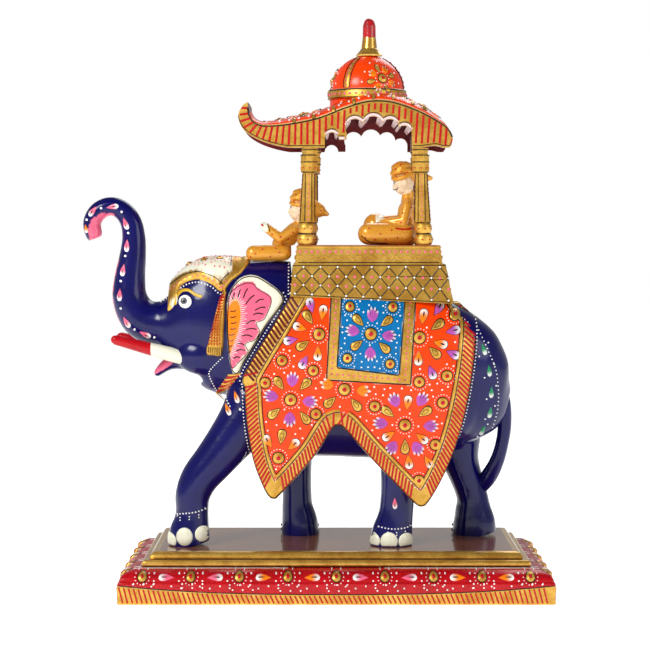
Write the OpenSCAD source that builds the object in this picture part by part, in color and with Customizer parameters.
// Carved and painted wooden elephant with a canopied howdah, two riders and a moulded plinth.
// +X points to the tail, -Y is the elephant's left side, +Z is up.
// The origin is the centre of the plinth's underside.

/* [Plinth] */
// Length of the lower board
plinth_l = 225; // [205:1:280]
// Width of the lower board
plinth_w = 114; // [96:1:150]
// Height of the square edge of the lower board
base_edge_h = 11.4; // [8:0.2:15]
// Height of the curved moulding above that edge
base_ogee_h = 5.8; // [4:0.2:9]
// How far the curved moulding steps in on each side
base_ogee_in = 11.6; // [8:0.2:15]
// Height of the lower nosing of the top board
lower_nose_h = 3.6; // [3:0.2:5]
// Height of the upper nosing of the top board
upper_nose_h = 3.8; // [3:0.2:6]
// How far the upper nosing stands in from the lower one
nose_step = 3.8; // [2:0.2:6]

/* [Elephant] */
// Height of the flat seat on the back above the plinth's top
back_h = 132.4; // [110:0.1:159]
// Widest part of the body
body_w = 56; // [47:0.5:67]
// Thickness of the carved cloths, the ears and the collar
cloth_t = 2.2; // [1.6:0.1:3]
// Diameter of the tusk at its root
tusk_d = 7.6; // [6:0.1:9.2]
// Length of the tusk outside its socket
tusk_l = 35; // [28:0.5:42]
// Depth of the round tenon of each tusk
tusk_tenon_l = 9; // [6:0.5:11]
// Diameter of the dowels that hold the carving together
dowel_d = 5; // [4:0.1:6]
// Radial clearance of a dowel or tenon in its hole
glue_gap = 0.1; // [0.05:0.05:0.2]

/* [Howdah] */
// Length of the latticed saddle at its foot
saddle_l = 85.5; // [72:0.5:103]
// Width of the latticed saddle at its foot
saddle_w = 50; // [46:0.5:58]
// Height of the latticed saddle at its front
saddle_h = 17; // [13:0.5:21]
// Height of the deck on the saddle
deck_h = 9.8; // [8:0.1:12]
// Height of a post from the deck to the canopy
post_h = 51; // [46:0.5:62]
// Half the width of a post's shaft at its foot
post_r = 4.1; // [3.6:0.1:4.8]
// Distance between the left and right posts
post_gap_y = 31; // [29:0.5:33]
// Width of the canopy
canopy_w = 54; // [50:0.5:60]
// Wall of the canopy's valance
valance_t = 3.2; // [2.4:0.1:4]
// Radius of the dome at its foot
dome_r = 21; // [17.5:0.1:23]
// Height of the dome
dome_h = 23.4; // [19:0.2:28]
// Height of the finial above the dome
finial_h = 20.4; // [17:0.2:25]

/* [Hidden] */

plinth_h = base_edge_h + base_ogee_h + lower_nose_h + upper_nose_h;
// The carving's own numbers are for a back of this height and a body of this width.
drawn_back_h = 132.4;
drawn_body_w = 56;
k = back_h / drawn_back_h;
ky = body_w / drawn_body_w;
// The seat on the back falls gently towards the tail.
seat_fall = 2.6;
seat_x = -24 * k;
saddle_top_z = back_h + saddle_h;
deck_top_z = saddle_top_z + deck_h;
canopy_z = deck_top_z + post_h;

// Centre, half width and half height of the body from the chest to the rump
torso = [[-55, 0, 86, 10, 14], [-49, 0, 89, 19.5, 28], [-38, 0, 92, 24.5, 41],
    [-20, 0, 93, 27.2, 47], [2, 0, 92.5, 28, 47.5], [26, 0, 91.5, 28.3, 47.5],
    [48, 0, 88, 28, 44.6], [65, 0, 83.6, 26, 38.4], [77.6, 0, 78.6, 20.6, 30],
    [87, 0, 75, 13.4, 19.6], [92.6, 0, 73.6, 5, 8.6]];
// The same for the neck and the head, from the shoulder to the face
head = [[-22, 0, 117, 20, 33], [-34, 0, 117, 22.4, 34.5], [-46, 0, 115, 22.6, 37],
    [-56, 0, 115.8, 21.6, 37.6], [-65, 0, 118.6, 20.4, 34.2], [-73, 0, 118.4, 18.8, 31],
    [-80, 0, 117.4, 16.8, 26], [-87, 0, 116.2, 14.8, 19.6], [-94, 0, 116.5, 12.6, 13.4]];
// The trunk from the face, up and over, to its tip
trunk = [[-84, 0, 117.5, 12.6, 14], [-96, 0, 116.6, 12, 12.4], [-105.5, 0, 120.4, 10.8, 11],
    [-110.9, 0, 130, 9.6, 9.5], [-111, 0, 141, 8.5, 8.4], [-109.4, 0, 153, 7.4, 7.2],
    [-108.7, 0, 163, 6.6, 6.3], [-110.4, 0, 172, 6, 5.8], [-115.5, 0, 178.4, 5.6, 5.3],
    [-122, 0, 180.1, 5.3, 5], [-128, 0, 177, 5.5, 5.1], [-131.2, 0, 171, 5.4, 4.9],
    [-130, 0, 164.6, 5.2, 4.6], [-129.4, 0, 162.6, 4.2, 3.8]];
lower_lip = [[-72, 0, 99, 9, 8], [-84, 0, 97.6, 7.4, 5.6], [-90, 0, 95.4, 5.8, 3.8],
    [-95, 0, 91.6, 4.4, 2.6], [-97.4, 0, 88.8, 3, 1.8]];
// Each leg from inside the body to its sole
leg_front_left = [[-40, -13.5, 78, 13, 18.6], [-48.2, -15, 66, 12.5, 14.8], [-56.6, -16.2, 55, 11.6, 12.6],
    [-65, -17, 44.5, 10.8, 11.2], [-72.4, -17.3, 35.5, 10.2, 10.2], [-76.2, -17.4, 26.5, 9.6, 9.4],
    [-76.5, -17.4, 18.5, 9.2, 8.8], [-77, -17.4, 12.5, 9.6, 9.5], [-78.1, -17.4, 6, 10.3, 10.9],
    [-78.4, -17.4, -2, 9.9, 10.6]];
leg_front_right = [[-25, 13.5, 74, 13, 18], [-23.6, 15.2, 58, 12, 12.8], [-22.4, 16.8, 44, 10.8, 9.8],
    [-21.6, 17.2, 32, 9.8, 8.4], [-21.2, 17.4, 22, 9.2, 8.1], [-21, 17.4, 15, 9.3, 8.6],
    [-19.8, 17.4, 7, 10, 10], [-19.2, 17.4, -2, 10, 10.6]];
leg_rear_left = [[46, -12.5, 74, 14, 23], [39, -14.6, 57, 12.8, 16], [34.4, -16.4, 43, 11.3, 11.2],
    [33, -17.2, 32, 10.2, 9.2], [32.4, -17.4, 21, 9.6, 9.1], [31.5, -17.4, 14, 9.7, 9.6],
    [29.9, -17.4, 6, 10.3, 11], [29.2, -17.4, -2, 10.2, 11.3]];
leg_rear_right = [[62, 11.5, 78, 14, 21], [65.5, 14.2, 58, 13, 15.4], [68.4, 16.2, 42, 11.4, 10.6],
    [72.4, 17, 30, 10.2, 8.9], [75.4, 17.3, 20.5, 9.4, 8.7], [76, 17.4, 13, 9.8, 10.2],
    [76.6, 17.4, 6, 10.3, 11.8], [76.4, 17.4, -2, 10.2, 12.2]];
tail = [[85.6, 0, 84, 5.4, 5.6], [90, 0.6, 74, 4.6, 4.6], [91.4, 1.6, 62, 3.8, 3.8],
    [90.2, 3.6, 51, 3.5, 3.6], [87.6, 6.6, 41, 3.6, 4], [83.6, 10.4, 32.4, 3.8, 4.6],
    [79, 14.5, 26, 3.4, 4.4]];
// Where a dowel stands under each foot
foot_at = [[-83, -17.4], [-20, 17.4], [30, -17.4], [74, 17.4]];

// Side outlines of the pieces that lie on the body, in x and height above the plinth's top
ear_outline = [[-58, 127], [-55.5, 136], [-50, 142], [-43, 143], [-36, 139.6], [-29.5, 134.5],
    [-28, 129], [-36, 118], [-42, 108], [-48, 98], [-52, 91.2], [-55.6, 94], [-57.4, 108]];
cloth_outline = [[-14, 150], [-23.4, 132.8], [-47.6, 93.4], [-48, 84], [-47, 66], [-43.8, 47],
    [-39, 33.6], [-35.6, 27.4], [-32.4, 26], [-29, 28.6], [-12, 47.6], [-2.4, 62.4], [1, 64.8],
    [4.4, 63], [18, 47.8], [35, 30], [42, 23], [45.4, 22], [48.6, 24.4], [55.6, 36.4], [62.4, 53],
    [67.6, 72], [71.4, 94], [73.2, 114], [72, 123], [66, 130], [62, 150]];
cap_outline = [[-96, 129], [-90, 132.6], [-85, 135.8], [-79.5, 139.6], [-73, 141], [-66.5, 138.8],
    [-60.4, 134.6], [-55.6, 140], [-50.6, 144], [-46, 150], [-43, 170], [-100, 170]];
tassel_outline = [[-58.4, 137], [-62.4, 126], [-66, 112], [-68.6, 102.4], [-64.8, 101.2],
    [-60.4, 101.6], [-59.2, 114], [-58.8, 126]];
// The body as the cloth lies on it: x, height of its widest line, half width, height above that line
drape = [[-58, 88, 26.4, 30], [-46, 90, 27.9, 38], [-34, 92, 28.3, 44], [-18, 93, 28.5, 47.2],
    [2, 92.5, 28.7, 47.7], [26, 91.5, 28.8, 47.7], [48, 88, 28.4, 45.2], [64, 84.5, 27, 40.4],
    [78, 80.5, 22.6, 32.6]];

// Canopy: where the striped eave begins and ends, at its foot and its top, from the front hook back
rib_foot = [[-48.6, 257.6], [-51, 254], [-51.3, 249.5], [-48.2, 243.8], [-41, 239.2], [-31, 236],
    [-20, 234.4], [-8, 234.2], [4, 234.2], [16, 234.2], [28, 234.2], [41, 234.6], [51, 236],
    [58, 234.6], [60, 238]];
rib_top = [[-46.6, 258.6], [-46.6, 255.4], [-45.8, 251.8], [-43.4, 248.6], [-39, 246.8], [-31, 246.9],
    [-21, 248.3], [-9, 251], [4, 256], [16, 259.4], [28, 259.2], [41, 255], [51, 250],
    [57.6, 245.4], [60.4, 240]];
// Height of the drawing's deck above the underside, which the canopy's numbers are measured from
drawn_canopy_z = 235;
// How high the roof's ridge stands above its eaves along the same ribs
rib_crown = [0.4, 1, 2, 2.8, 3.2, 4, 4.6, 5, 5.6, 6, 6, 5.4, 4.2, 2.6, 0.8];
canopy_x = 16.4;

// Rider pieces as chains of round masses: each is a start, its radius, an end and its radius
king_x = 37.5;
king_masses = [[[-1, -6.5, 5.8], 6.2, [-20, -10, 6], 5.9], [[-20, -10, 6], 5.9, [-8, -2, 4.6], 4.4],
    [[-1, 6.5, 6.4], 6, [-16, 9, 10.6], 6.6], [[-16, 9, 10.6], 6.6, [-9, 3, 4.6], 4.4],
    [[1, 0, 6.4], 7, [0.8, 0, 18.6], 5], [[0.8, -4.4, 21.6], 3.4, [0.8, 4.4, 21.6], 3.4],
    [[0.6, -6.4, 21], 2.9, [-1.4, -9, 13], 2.7], [[-1.4, -9, 13], 2.7, [-13, -5, 12], 2.2],
    [[0.6, 6.4, 21], 2.9, [-1.4, 9, 14], 2.7], [[-1.4, 9, 14], 2.7, [-13, 4, 13.4], 2.2],
    [[0.8, 0, 21.6], 3.6, [1.4, 0, 28], 3.2]];
king_neck_z = 28;
mahout_x = -27;
mahout_masses = [[[-1, -6, 4.4], 4.3, [-17, -7, 4.3], 4.2], [[-1, 6, 4.4], 4.3, [-17, 7, 4.3], 4.2],
    [[-1.4, 0, 5.6], 5.4, [-2, 0, 9], 5.4], [[-2, 0, 9], 5.4, [5, 0, 16.4], 4.6],
    [[5.4, -4.4, 17], 2.9, [5.4, 4.4, 17], 2.9], [[5.2, -6.2, 16.4], 2.5, [-3, -6.6, 12.6], 2.6],
    [[-3, -6.6, 12.6], 2.8, [-11.2, -4.6, 18.6], 2.4], [[5.2, 6.2, 16.4], 2.5, [-3, 6.6, 12.6], 2.6],
    [[-3, 6.6, 12.6], 2.8, [-11.2, 4.6, 18.6], 2.4], [[5.8, 0, 17.6], 3, [8, 0, 21.6], 2.8]];
mahout_neck = [8, 0, 21.6];

// Catmull-Rom value between b and c, at the share t of the way
function between(a, b, c, d, t) = 0.5 * (2 * b + (c - a) * t + (2 * a - 5 * b + 4 * c - d) * t * t
    + (3 * b - a - 3 * c + d) * t * t * t);
// A list of values made n times finer along a smooth curve
function smoothed(s, n) = [for (i = [0:len(s) - 2], j = [0:n - 1])
    between(s[max(i - 1, 0)], s[i], s[i + 1], s[min(i + 2, len(s) - 1)], j / n), s[len(s) - 1]];
// The same for a closed outline
function rounded(s, n) = [for (i = [0:len(s) - 1], j = [0:n - 1]) let (m = len(s))
    between(s[(i + m - 1) % m], s[i], s[(i + 1) % m], s[(i + 2) % m], j / n)];
// Stations of the drawing at the carving's real size, grown by g all round
function sized(s, g = 0) = [for (p = s)
    [p[0] * k, p[1] * k * ky, p[2] * k, p[3] * k * ky + g, p[4] * k + g]];
function flat(s) = [for (p = s) p * k];
function bend(v, power) = sign(v) * pow(abs(v), 2 / power);
// One ring of a loft, square to its path, with its own roundness above and below
function ring(s, i, sides, up, down) = let (
        a = s[max(i - 1, 0)], b = s[min(i + 1, len(s) - 1)],
        run = norm([b[0] - a[0], b[2] - a[2]]),
        nx = -(b[2] - a[2]) / run, nz = (b[0] - a[0]) / run, c = s[i])
    [for (j = [0:sides - 1]) let (w = 360 * (j + 0.5) / sides, p = sin(w) > 0 ? up : down,
        y = c[3] * bend(cos(w), p), n = c[4] * bend(sin(w), p))
        [c[0] + n * nx, c[1] + y, c[2] + n * nz]];

// A solid swept through its stations, each [x, y, z, half width, half thickness]
module loft(s, sides = 20, up = 2, down = 2) {
    n = len(s);
    points = [for (i = [0:n - 1]) each ring(s, i, sides, up, down)];
    sheets = [for (i = [0:n - 2], j = [0:sides - 1]) let (a = i * sides + j,
        b = i * sides + (j + 1) % sides) each [[a, a + sides, b], [b, a + sides, b + sides]]];
    first = [for (j = [0:sides - 1]) j];
    last = [for (j = [sides - 1:-1:0]) (n - 1) * sides + j];
    polyhedron(points, concat([first], sheets, [last]), convexity = 8);
}

// A round mass of muscle, given by its centre and half sizes
module muscle(at, half) {
    translate([at[0] * k, at[1] * k * ky, at[2] * k]) scale([half[0] * k, half[1] * k * ky, half[2] * k])
        hull() sphere(1, $fn = 16);
}

// A side outline, in x and z, carried from one y to another
module side_slab(outline, y0, y1, finer = 3) {
    translate([0, y1, 0]) rotate([90, 0, 0])
        linear_extrude(y1 - y0) polygon(rounded(outline, finer));
}

// Everything above the sloping seat on the back, under the saddle and behind the neck
module seat_cut() {
    translate([seat_x, 0, back_h]) rotate([0, seat_fall, 0]) translate([0, -100, 0])
        cube([200, 200, 60 * k]);
}

module ground_cut() translate([-300, -100, -100]) cube([600, 200, 100]);

// The lifted heel of a foot, cut from the sole
module heel_cut(at, turn) {
    translate([at[0] * k, at[1] * k * ky, 0]) rotate([0, turn, 0]) translate([turn > 0 ? -40 : 0, -20 * k, -30])
        cube([40, 40 * k, 30]);
}

// The outer shape of the head and neck, grown for what lies on it
module head_mass(g = 0) {
    loft(smoothed(sized(head, g), 2), 20);
    for (side = [-1, 1]) muscle([-64, side * 7.2, 139.6], [13 + g, 9 + g, 11.4 + g]);
}

// The outer shape of the body without its legs, grown for what lies on it
module torso_mass(g = 0) loft(smoothed(sized(torso, g), 2), 24, 3, 2.3);

// The whole carved block before any hole, seat or rebate is cut
module carcass() {
    torso_mass();
    head_mass();
    for (leg = [leg_front_left, leg_front_right, leg_rear_left, leg_rear_right])
        loft(smoothed(sized(leg), 2), 14);
    for (side = [-1, 1]) {
        // Cheek, brow, shoulder and haunch
        muscle([-70, side * 9.6, 100.6], [16, 8.8, 11]);
        muscle([-77, side * 12, 130.5], [9, 5, 5.4]);
        muscle([-38, side * 11.4, 90], [17, 14, 23]);
        muscle([60, side * 12.2, 76], [19, 14, 21]);
    }
    loft(sized(lower_lip), 12);
}

// A round hole or dowel standing at a point of the drawing
module upright(x, y, z0, z1, d) {
    translate([x * k, y * k * ky, z0]) cylinder(h = z1 - z0, d = d, $fn = 32);
}

tusk_at = [-86, 11.5, 100.5];
tusk_rise = 15;
tusk_spread = 4;
// The tusk's own line: outside its socket it points forward, up and a little outwards
module tusk_place(side) {
    translate([tusk_at[0] * k, side * tusk_at[1] * k * ky, tusk_at[2] * k])
        rotate([0, -90 + tusk_rise, side * -tusk_spread]) children();
}

trunk_joint = [-90.5, 0, 117];
trunk_dowel_l = 18;
trunk_turn = -92;
module trunk_dowel_place() {
    translate([trunk_joint[0] * k, 0, trunk_joint[2] * k]) rotate([0, trunk_turn, 0])
        translate([0, 0, -trunk_dowel_l / 2]) children();
}
module trunk_side() {
    translate([trunk_joint[0] * k, 0, trunk_joint[2] * k]) rotate([0, trunk_turn, 0])
        translate([-13.4 * k, -100, 0]) cube([200, 200, 200]);
}

dowel_reach = 14;
saddle_dowel_x = [-6, 42];
saddle_dowel_reach = 9;
peg_d = 4;
peg_reach = 6;

// Flat on the neck where the mahout sits
neck_seat_z = 150.6;
module neck_seat_cut() translate([-47 * k, -60, neck_seat_z * k]) cube([30 * k, 120, 60]);

module elephant_body() color("navy") translate([0, 0, plinth_h]) difference() {
    carcass();
    seat_cut();
    neck_seat_cut();
    ground_cut();
    heel_cut([-78, -17.4], -13);
    heel_cut([79, 17.4], -12);
    trunk_side();
    // Rebates for the carved pieces that lie on the body
    cloth_layer();
    face_cut();
    trunk_dowel_place() cylinder(h = trunk_dowel_l, d = dowel_d + 2 * glue_gap, $fn = 32);
    for (side = [-1, 1]) tusk_place(side)
        translate([0, 0, -tusk_tenon_l]) cylinder(h = tusk_tenon_l + 20, d = tusk_d + 2 * glue_gap, $fn = 32);
    for (p = foot_at) upright(p[0], p[1], -1, dowel_reach, dowel_d + 2 * glue_gap);
    for (x = saddle_dowel_x) upright(x, 0, back_h - 5 - saddle_dowel_reach, back_h + 1, dowel_d + 2 * glue_gap);
    translate([mahout_x * k - 4, 0, neck_seat_z * k - peg_reach])
        cylinder(h = peg_reach + 1, d = peg_d + 2 * glue_gap, $fn = 32);
}

module trunk() color("navy") translate([0, 0, plinth_h]) difference() {
    intersection() {
        union() {
            loft(smoothed(sized(trunk), 2), 12);
        }
        trunk_side();
    }
    trunk_dowel_place() cylinder(h = trunk_dowel_l, d = dowel_d + 2 * glue_gap, $fn = 32);
    for (side = [-1, 1]) tusk_place(side)
        translate([0, 0, -tusk_tenon_l]) cylinder(h = tusk_tenon_l + tusk_l, d = tusk_d + 4 * glue_gap, $fn = 32);
}

module trunk_dowel() color("burlywood") translate([0, 0, plinth_h])
    trunk_dowel_place() cylinder(h = trunk_dowel_l, d = dowel_d, $fn = 32);

// A tusk with its round tenon: it tapers slightly to a round end
module tusk(side) {
    tip_r = tusk_d * 0.31;
    translate([0, 0, plinth_h]) tusk_place(side) rotate_extrude($fn = 48) polygon(concat(
        [[0, -tusk_tenon_l], [tusk_d / 2, -tusk_tenon_l], [tusk_d / 2, tusk_l * 0.12],
        [tusk_d * 0.45, tusk_l * 0.4], [tip_r + 0.3, tusk_l - tip_r]],
        [for (a = [0:15:90]) [tip_r * cos(a), tusk_l - tip_r + tip_r * sin(a)]]));
}

module tusk_left() color("ivory") tusk(-1);
module tusk_right() color("ivory") tusk(1);

// How deep a carved piece is let into the body
rebate = 2.2;
// Everything inside a side outline on one side of the middle plane
module outline_room(outline, side, finer = 3) side_slab(flat(outline), side < 0 ? -60 : 0, side < 0 ? 0 : 60, finer);

// The one rebate for the ears, the head cloth and the tassels
module face_cut() difference() {
    union() {
        for (side = [-1, 1]) {
            outline_room(ear_outline, side, 2);
            outline_room(tassel_outline, side, 2);
        }
        side_slab(flat(cap_outline), -60, 60, 2);
    }
    head_mass(-rebate);
    torso_mass(-rebate);
}

module ear_shape(side) difference() {
    intersection() {
        outline_room(ear_outline, side, 2);
        union() {
            head_mass(cloth_t);
            torso_mass(cloth_t);
        }
    }
    head_mass(-rebate);
    torso_mass(-rebate);
}
module ear_left() color("mistyrose") translate([0, 0, plinth_h]) ear_shape(-1);
module ear_right() color("mistyrose") translate([0, 0, plinth_h]) ear_shape(1);

module tail() color("navy") translate([0, 0, plinth_h]) difference() {
    loft(smoothed(sized(tail), 2), 8);
    carcass();
}

// The body under the cloth: round above its widest line and straight below it
function drape_ring(s, g) = concat([for (a = [0:22.5:180]) [s[0] * k,
        (s[2] * k * ky + g) * bend(cos(a), 3), s[1] * k + (s[3] * k + g) * bend(sin(a), 3)]],
    [[s[0] * k, -s[2] * k * ky - g, 10 * k], [s[0] * k, s[2] * k * ky + g, 10 * k]]);
module drape_mass(g) {
    rings = [for (s = drape) drape_ring(s, g)];
    n = len(rings);
    m = len(rings[0]);
    sheets = [for (i = [0:n - 2], j = [0:m - 1]) let (a = i * m + j, b = i * m + (j + 1) % m)
        each [[a, a + m, b], [b, a + m, b + m]]];
    polyhedron([for (r = rings) each r], concat([[for (j = [0:m - 1]) j]], sheets,
        [[for (j = [m - 1:-1:0]) (n - 1) * m + j]]), convexity = 6);
}

module cloth_layer() difference() {
    intersection() {
        side_slab(flat(cloth_outline), -60, 60);
        drape_mass(cloth_t);
    }
    drape_mass(-rebate);
}
module cloth_shape(side) difference() {
    intersection() {
        outline_room(cloth_outline, side);
        drape_mass(cloth_t);
    }
    drape_mass(-rebate);
    seat_cut();
    outline_room(ear_outline, side, 2);
}
module caparison_left() color("orangered") translate([0, 0, plinth_h]) cloth_shape(-1);
module caparison_right() color("orangered") translate([0, 0, plinth_h]) cloth_shape(1);

module head_cloth() color("ghostwhite") translate([0, 0, plinth_h]) difference() {
    intersection() {
        side_slab(flat(cap_outline), -60, 60, 2);
        head_mass(cloth_t * 0.6);
    }
    head_mass(-rebate);
    torso_mass(-rebate);
    outline_room(ear_outline, -1, 2);
    outline_room(ear_outline, 1, 2);
    trunk_side();
    neck_seat_cut();
}

module tassel_shape(side) difference() {
    intersection() {
        outline_room(tassel_outline, side, 2);
        head_mass(cloth_t * 1.3);
    }
    head_mass(-rebate);
    side_slab(flat(cap_outline), -60, 60, 2);
    outline_room(ear_outline, side, 2);
}
module tassel_left() color("goldenrod") translate([0, 0, plinth_h]) tassel_shape(-1);
module tassel_right() color("goldenrod") translate([0, 0, plinth_h]) tassel_shape(1);

// A block with its foot along the sloping seat, narrowing upwards
saddle_lean_x = [1.4, 4];
saddle_lean_y = 2.6;
module saddle_block() {
    top = back_h + saddle_h;
    foot_fall = saddle_l * sin(seat_fall);
    x1 = seat_x + saddle_l;
    hull() {
        translate([seat_x + saddle_lean_x[0], -saddle_w / 2 + saddle_lean_y, top - 1])
            cube([saddle_l - saddle_lean_x[0] - saddle_lean_x[1], saddle_w - 2 * saddle_lean_y, 1]);
        translate([seat_x, -saddle_w / 2, back_h]) cube([0.01, saddle_w, 1]);
        translate([x1 - 0.01, -saddle_w / 2, back_h - foot_fall]) cube([0.01, saddle_w, 1]);
    }
}

module howdah_saddle() color("darkgoldenrod") translate([0, 0, plinth_h]) difference() {
    saddle_block();
    for (x = saddle_dowel_x) upright(x, 0, back_h - 20, back_h + saddle_dowel_reach, dowel_d + 2 * glue_gap);
}

module saddle_dowels() color("burlywood") translate([0, 0, plinth_h])
    for (x = saddle_dowel_x) upright(x, 0, back_h - 5 - saddle_dowel_reach + 0.5, back_h + saddle_dowel_reach - 0.5, dowel_d);

deck_inset = [2.4, 5.6];
deck_x0 = seat_x + deck_inset[0];
deck_l = saddle_l - deck_inset[0] - deck_inset[1];
deck_w = saddle_w - 2 * saddle_lean_y - 2;
deck_lean = 1;
tenon_d = 6;
tenon_l = 6;
// Centre of each post on the deck, in x from the deck's front, and its side
post_at = [[5.6, -1], [7, 1], [deck_l - 9.4, -1], [deck_l - 8.6, 1]];
post_lean = 2.4;

// Where a post stands: its foot on the deck, leaning a little towards the middle
module post_place(i) {
    translate([deck_x0 + post_at[i][0], post_at[i][1] * post_gap_y / 2, deck_top_z + plinth_h])
        rotate([0, i < 2 ? post_lean : -post_lean, 0]) children();
}

module howdah_deck() color("goldenrod") difference() {
    translate([0, 0, plinth_h + saddle_top_z]) hull() {
        translate([deck_x0, -deck_w / 2, 0]) cube([deck_l, deck_w, 0.6]);
        translate([deck_x0 + deck_lean, -deck_w / 2 + deck_lean, deck_h - 0.6])
            cube([deck_l - 2 * deck_lean, deck_w - 2 * deck_lean, 0.6]);
    }
    for (i = [0:3]) post_place(i)
        translate([0, 0, -tenon_l]) cylinder(h = tenon_l + 3, d = tenon_d + 2 * glue_gap, $fn = 32);
    translate([king_x, 0, plinth_h + deck_top_z - peg_reach])
        cylinder(h = peg_reach + 1, d = peg_d + 2 * glue_gap, $fn = 32);
}

bead_h = 6;
capital_h = 9;
neck_h = 3.4;
// One turned cushion of a post's foot
module bead(r, h) {
    rotate_extrude($fn = 32) polygon(concat([[0, 0]],
        [for (a = [-70:20:70]) [r - h * 0.3 + h * 0.3 * cos(a), h / 2 + h / 2 * sin(a) / sin(70)]], [[0, h]]));
}

module post(i) post_place(i) {
    shaft_h = post_h - 2 * bead_h - capital_h - neck_h;
    difference() {
        union() {
            translate([0, 0, -tenon_l]) cylinder(h = tenon_l + 1, d = tenon_d, $fn = 32);
            bead(post_r * 1.2, bead_h);
            translate([0, 0, bead_h]) bead(post_r * 1.13, bead_h);
            translate([0, 0, 2 * bead_h]) rotate([0, 0, 22.5])
                cylinder(h = shaft_h, r1 = post_r * 1.1, r2 = post_r * 0.86, $fn = 8);
            translate([0, 0, 2 * bead_h + shaft_h]) rotate([0, 0, 22.5])
                cylinder(h = capital_h, r1 = post_r * 1.12, r2 = post_r * 1.2, $fn = 8);
            translate([0, 0, post_h - neck_h - 0.01]) rotate([0, 0, 22.5])
                cylinder(h = neck_h + 6, r1 = post_r * 1.02, r2 = post_r * 1.4, $fn = 8);
        }
        // The neck ends on the flat ceiling of the canopy's corner block
        rotate([0, i < 2 ? -post_lean : post_lean, 0]) translate([-20, -20, post_h]) cube([40, 40, 20]);
    }
}
module post_front_left() color("goldenrod") post(0);
module post_front_right() color("goldenrod") post(1);
module post_rear_left() color("goldenrod") post(2);
module post_rear_right() color("goldenrod") post(3);

// The canopy as one long vault: a ring of outer and inner points at each rib
crown_steps = 6;
function rib_ring(foot, top, crown, half, t) = let (
        lean = (top - foot) / norm(top - foot),
        out = [for (j = [0:crown_steps]) let (a = 180 * j / crown_steps)
            [top + lean * crown * sin(a), -half * cos(a)]])
    concat([[foot, -half]], [for (o = out) o], [[foot, half]], [[foot, half - t]],
        [for (j = [crown_steps:-1:0]) [out[j][0] - lean * min(t, norm(top - foot) * 0.6),
            out[j][1] * (half - t) / half]],
        [[foot, -half + t]]);

// The drawing's ribs moved with the canopy, and spread with its width
function rib(p) = [p[0] - canopy_x + canopy_mid_x, p[1] - drawn_canopy_z + canopy_z + plinth_h];
canopy_mid_x = deck_x0 + deck_l / 2 - 0.3;

module vault() {
    feet = smoothed([for (p = rib_foot) rib(p)], 2);
    tops = smoothed([for (p = rib_top) rib(p)], 2);
    crowns = smoothed(rib_crown, 2);
    rings = [for (i = [0:len(feet) - 1]) rib_ring(feet[i], tops[i], crowns[i], canopy_w / 2, valance_t)];
    m = len(rings[0]);
    half_m = m / 2;
    n = len(rings);
    points = [for (r = rings) each [for (q = r) [q[0][0], q[1], q[0][1]]]];
    sheets = [for (i = [0:n - 2], j = [0:m - 1]) let (a = i * m + j, b = i * m + (j + 1) % m)
        each [[a, b, a + m], [b, b + m, a + m]]];
    // Each end is closed strip by strip between its outer and inner line
    caps = [for (j = [0:half_m - 2]) each [[j + 1, j, m - 1 - j], [j + 1, m - 1 - j, m - 2 - j]]];
    ends = [for (f = caps) [for (v = [2, 1, 0]) f[v] + (n - 1) * m]];
    polyhedron(points, concat([for (f = caps) f], sheets, [for (f = ends) f]), convexity = 12);
}

// The cusped arch between two posts: two small foils at the posts and three wide ones between
arch_foils = [[-2.7, 4.2, 3.7], [9.4, 10, 5], [19, 10.8, 5.6], [27.7, 10.2, 4.7], [35.2, 7.6, 3.9]];
module arch(drop) translate([canopy_mid_x - canopy_x, 0]) {
    for (f = arch_foils) translate([f[0], f[1] - drop]) circle(r = f[2], $fn = 24);
    translate([-6.4, -30]) square([12, 34.2 - drop]);
    translate([5, -30]) square([26.4, 41.4 - drop]);
    translate([30, -30]) square([9.1, 37.6 - drop]);
}

// The right-hand arch was cut lower than the left one.
arch_drop = [0, 4];
module canopy_roof() color("orangered") {
    mid_z = canopy_z + plinth_h;
    difference() {
        union() {
            vault();
            for (i = [0:3]) corner_block(i);
            // Crown block that carries the dome
            translate([canopy_mid_x, 0, dome_z - 7.5]) cylinder(h = 7.6, r = dome_r - 1, $fn = 64);
        }
        translate([0, 1, mid_z]) rotate([90, 0, 0]) linear_extrude(60) arch(arch_drop[0]);
        translate([0, 60, mid_z]) rotate([90, 0, 0]) linear_extrude(60) arch(arch_drop[1]);
        // Flat underside
        translate([-200, -100, mid_z - 100]) cube([400, 200, 99.99]);
        // Flat seat and dowel for the dome
        translate([canopy_mid_x, 0, dome_z]) cylinder(h = 30, r = dome_r + glue_gap, $fn = 64);
        translate([canopy_mid_x, 0, dome_z - 5]) cylinder(h = 20, d = dowel_d + 2 * glue_gap, $fn = 32);
    }
}
// Solid corner above each post, which carries the vault
module corner_block(i) {
    w = post_r * 2.1;
    translate([deck_x0 + post_at[i][0] + (i < 2 ? 1 : -1) * post_h * tan(post_lean) - w / 2,
        post_at[i][1] * (canopy_w / 2 - w - 0.6) - (post_at[i][1] < 0 ? w : 0), canopy_z + plinth_h])
        cube([w, w, 13]);
}

dome_z = canopy_z + plinth_h + 26.4;
collar_h = 5.6;
dome_top_r = 6.4;
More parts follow.
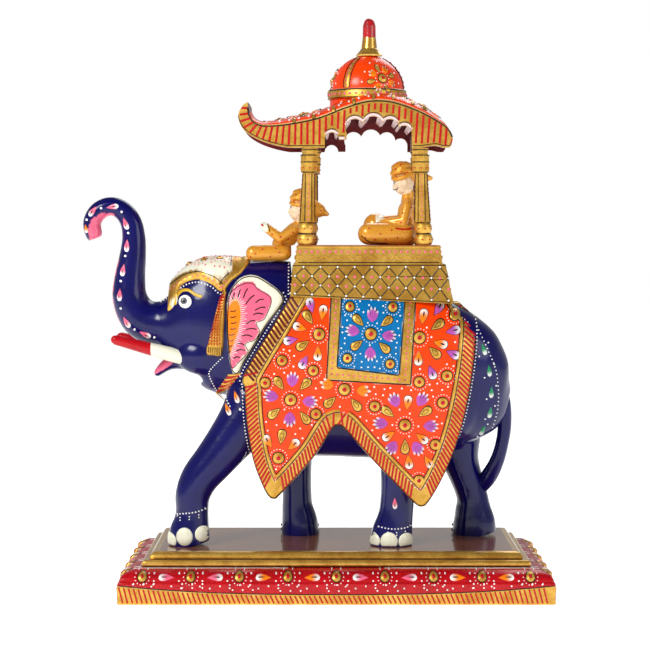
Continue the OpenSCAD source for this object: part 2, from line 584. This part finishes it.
// The finial stands a little behind the middle of the dome.
finial_x = canopy_mid_x + 1;
function dome_line() = [for (a = [0:9.5:76]) [
    1.5 + (dome_r - 3.1) * pow(cos(a), 1.15), collar_h + (dome_h - collar_h) * sin(a) / sin(76)]];
module dome() color("orangered") difference() {
    translate([canopy_mid_x, 0, dome_z]) rotate_extrude($fn = 96) polygon(concat([[0, 0], [dome_r, 0],
        [dome_r + 0.0, 1], [dome_r - 0.2, collar_h - 0.6]], dome_line(), [[0, dome_h]]));
    translate([canopy_mid_x, 0, dome_z - 1]) cylinder(h = 9, d = dowel_d + 2 * glue_gap, $fn = 32);
    translate([finial_x, 0, dome_z + dome_h - 8]) cylinder(h = 20, d = dowel_d + 2 * glue_gap, $fn = 32);
}

module dome_dowel() color("burlywood") translate([canopy_mid_x, 0, dome_z - 4.5])
    cylinder(h = 12, d = dowel_d, $fn = 32);

// The turned finial: a dish, a neck and a long round tip, on its own round tenon
module finial() color("crimson") translate([finial_x, 0, dome_z + dome_h]) rotate_extrude($fn = 64)
    polygon(concat([[0, -7.5], [dowel_d / 2, -7.5], [dowel_d / 2, 0], [dome_top_r + 0.4, 0],
        [dome_top_r + 0.6, 0.8], [dome_top_r - 0.8, 2.4], [4.6, 3.8], [4.2, 4.2], [3.6, finial_h * 0.47],
        [3.5, finial_h * 0.5], [3.4, finial_h * 0.8]],
        [for (a = [10:20:90]) [2.9 * cos(a), finial_h - 2.9 + 2.9 * sin(a)]]));

// A rider's limbs and trunk from their round masses
module masses(list) for (m = list) hull() {
    translate(m[0]) sphere(m[1], $fn = 10);
    translate(m[2]) sphere(m[3], $fn = 10);
}

module king_place() translate([king_x, 0, plinth_h + deck_top_z]) children();
module mahout_place() translate([mahout_x * k, 0, plinth_h + neck_seat_z * k]) children();

module king_body() color("orange") king_place() difference() {
    masses(king_masses);
    translate([-50, -50, -30]) cube([100, 100, 30]);
    translate([0, 0, -1]) cylinder(h = peg_reach + 1, d = peg_d + 2 * glue_gap, $fn = 24);
    head_at([1, 0, king_neck_z], -18) head_shape();
}

// A rider's head: skull, jaw, wound turban and the turban's tail
head_turn = 0;
module head_shape() {
    hull() {
        translate([0, 0, 7]) scale([6, 5.6, 6.6]) sphere(1, $fn = 12);
        translate([-1.6, 0, 3]) scale([4, 3.8, 3.4]) sphere(1, $fn = 12);
    }
    hull() {
        translate([0.6, 0, 11.2]) scale([6.6, 6.2, 3]) sphere(1, $fn = 12);
        translate([-0.2, 0, 16.4]) scale([4, 3.8, 2.6]) sphere(1, $fn = 12);
    }
    hull() {
        translate([3.6, 0, 9.6]) scale([5, 5.2, 4.6]) sphere(1, $fn = 12);
        translate([15, 0, 2.8]) sphere(1.5, $fn = 8);
    }
}
module head_at(at, lean) translate(at) rotate([0, lean * -1, 0]) children();

module king_head() color("moccasin") king_place() head_at([1, 0, king_neck_z], -18) head_shape();

module mahout_body() color("orange") difference() {
    mahout_place() difference() {
        masses(mahout_masses);
        translate([-50, -50, -30]) cube([100, 100, 30]);
        translate([-4, 0, -1]) cylinder(h = peg_reach + 1, d = peg_d + 2 * glue_gap, $fn = 24);
        head_at(mahout_neck, 0) head_shape();
    }
    howdah_room();
}
// The space that the saddle and the deck take
module howdah_room() {
    translate([seat_x, -60, plinth_h]) cube([200, 120, saddle_top_z]);
    translate([deck_x0, -60, plinth_h]) cube([200, 120, deck_top_z]);
}

module mahout_head() color("moccasin") mahout_place() head_at(mahout_neck, 0) head_shape();

module rider_pegs() color("burlywood") {
    king_place() translate([0, 0, 0.5 - peg_reach]) cylinder(h = 2 * peg_reach - 1.5, d = peg_d, $fn = 32);
    mahout_place() translate([-4, 0, 0.5 - peg_reach]) cylinder(h = 2 * peg_reach - 1.5, d = peg_d, $fn = 32);
}

// A rectangular board whose edge follows a profile of [inset, height] points
module moulded_board(l, w, profile) {
    n = len(profile);
    corners = [[-1, -1], [1, -1], [1, 1], [-1, 1]];
    points = [for (p = profile) each [for (c = corners) [c[0] * (l / 2 - p[0]), c[1] * (w / 2 - p[0]), p[1]]]];
    sheets = [for (i = [0:n - 2], j = [0:3]) let (a = 4 * i + j, b = 4 * i + (j + 1) % 4)
        each [[a, a + 4, b], [b, a + 4, b + 4]]];
    polyhedron(points, concat([[0, 1, 2, 3]], sheets, [[for (j = [3:-1:0]) 4 * (n - 1) + j]]));
}

top_in = base_ogee_in;
module base_moulding() color("firebrick") difference() {
    moulded_board(plinth_l, plinth_w, concat([[0, 0], [0, base_edge_h]],
        [for (a = [0:15:90]) [0.8 + (base_ogee_in - 0.8) * (1 - cos(a)),
            base_edge_h + 0.3 + (base_ogee_h - 0.3) * sin(a)]]));
    for (p = foot_at) upright(p[0], p[1], 3, plinth_h, dowel_d + 2 * glue_gap);
}

module plinth_top() color("goldenrod") difference() {
    translate([0, 0, base_edge_h + base_ogee_h]) moulded_board(plinth_l - 2 * top_in, plinth_w - 2 * top_in, [
        [0.8, 0], [0, 0.8], [0.2, lower_nose_h - 1.2], [1.6, lower_nose_h - 0.2], [nose_step + 0.6, lower_nose_h],
        [nose_step, lower_nose_h + 0.8], [nose_step + 0.4, lower_nose_h + upper_nose_h * 0.5],
        [nose_step + 2, lower_nose_h + upper_nose_h * 0.85], [nose_step + 4, lower_nose_h + upper_nose_h]]);
    for (p = foot_at) upright(p[0], p[1], 3, plinth_h + 1, dowel_d + 2 * glue_gap);
}

module foot_dowels() color("burlywood")
    for (p = foot_at) upright(p[0], p[1], 3.5, plinth_h + dowel_reach - 0.5, dowel_d);

base_moulding();
plinth_top();
foot_dowels();
elephant_body();
trunk();
trunk_dowel();
tusk_left();
tusk_right();
ear_left();
ear_right();
tail();
head_cloth();
tassel_left();
tassel_right();
caparison_left();
caparison_right();
howdah_saddle();
saddle_dowels();
howdah_deck();
post_front_left();
post_front_right();
post_rear_left();
post_rear_right();
canopy_roof();
dome();
dome_dowel();
finial();
king_body();
king_head();
mahout_body();
mahout_head();
rider_pegs();
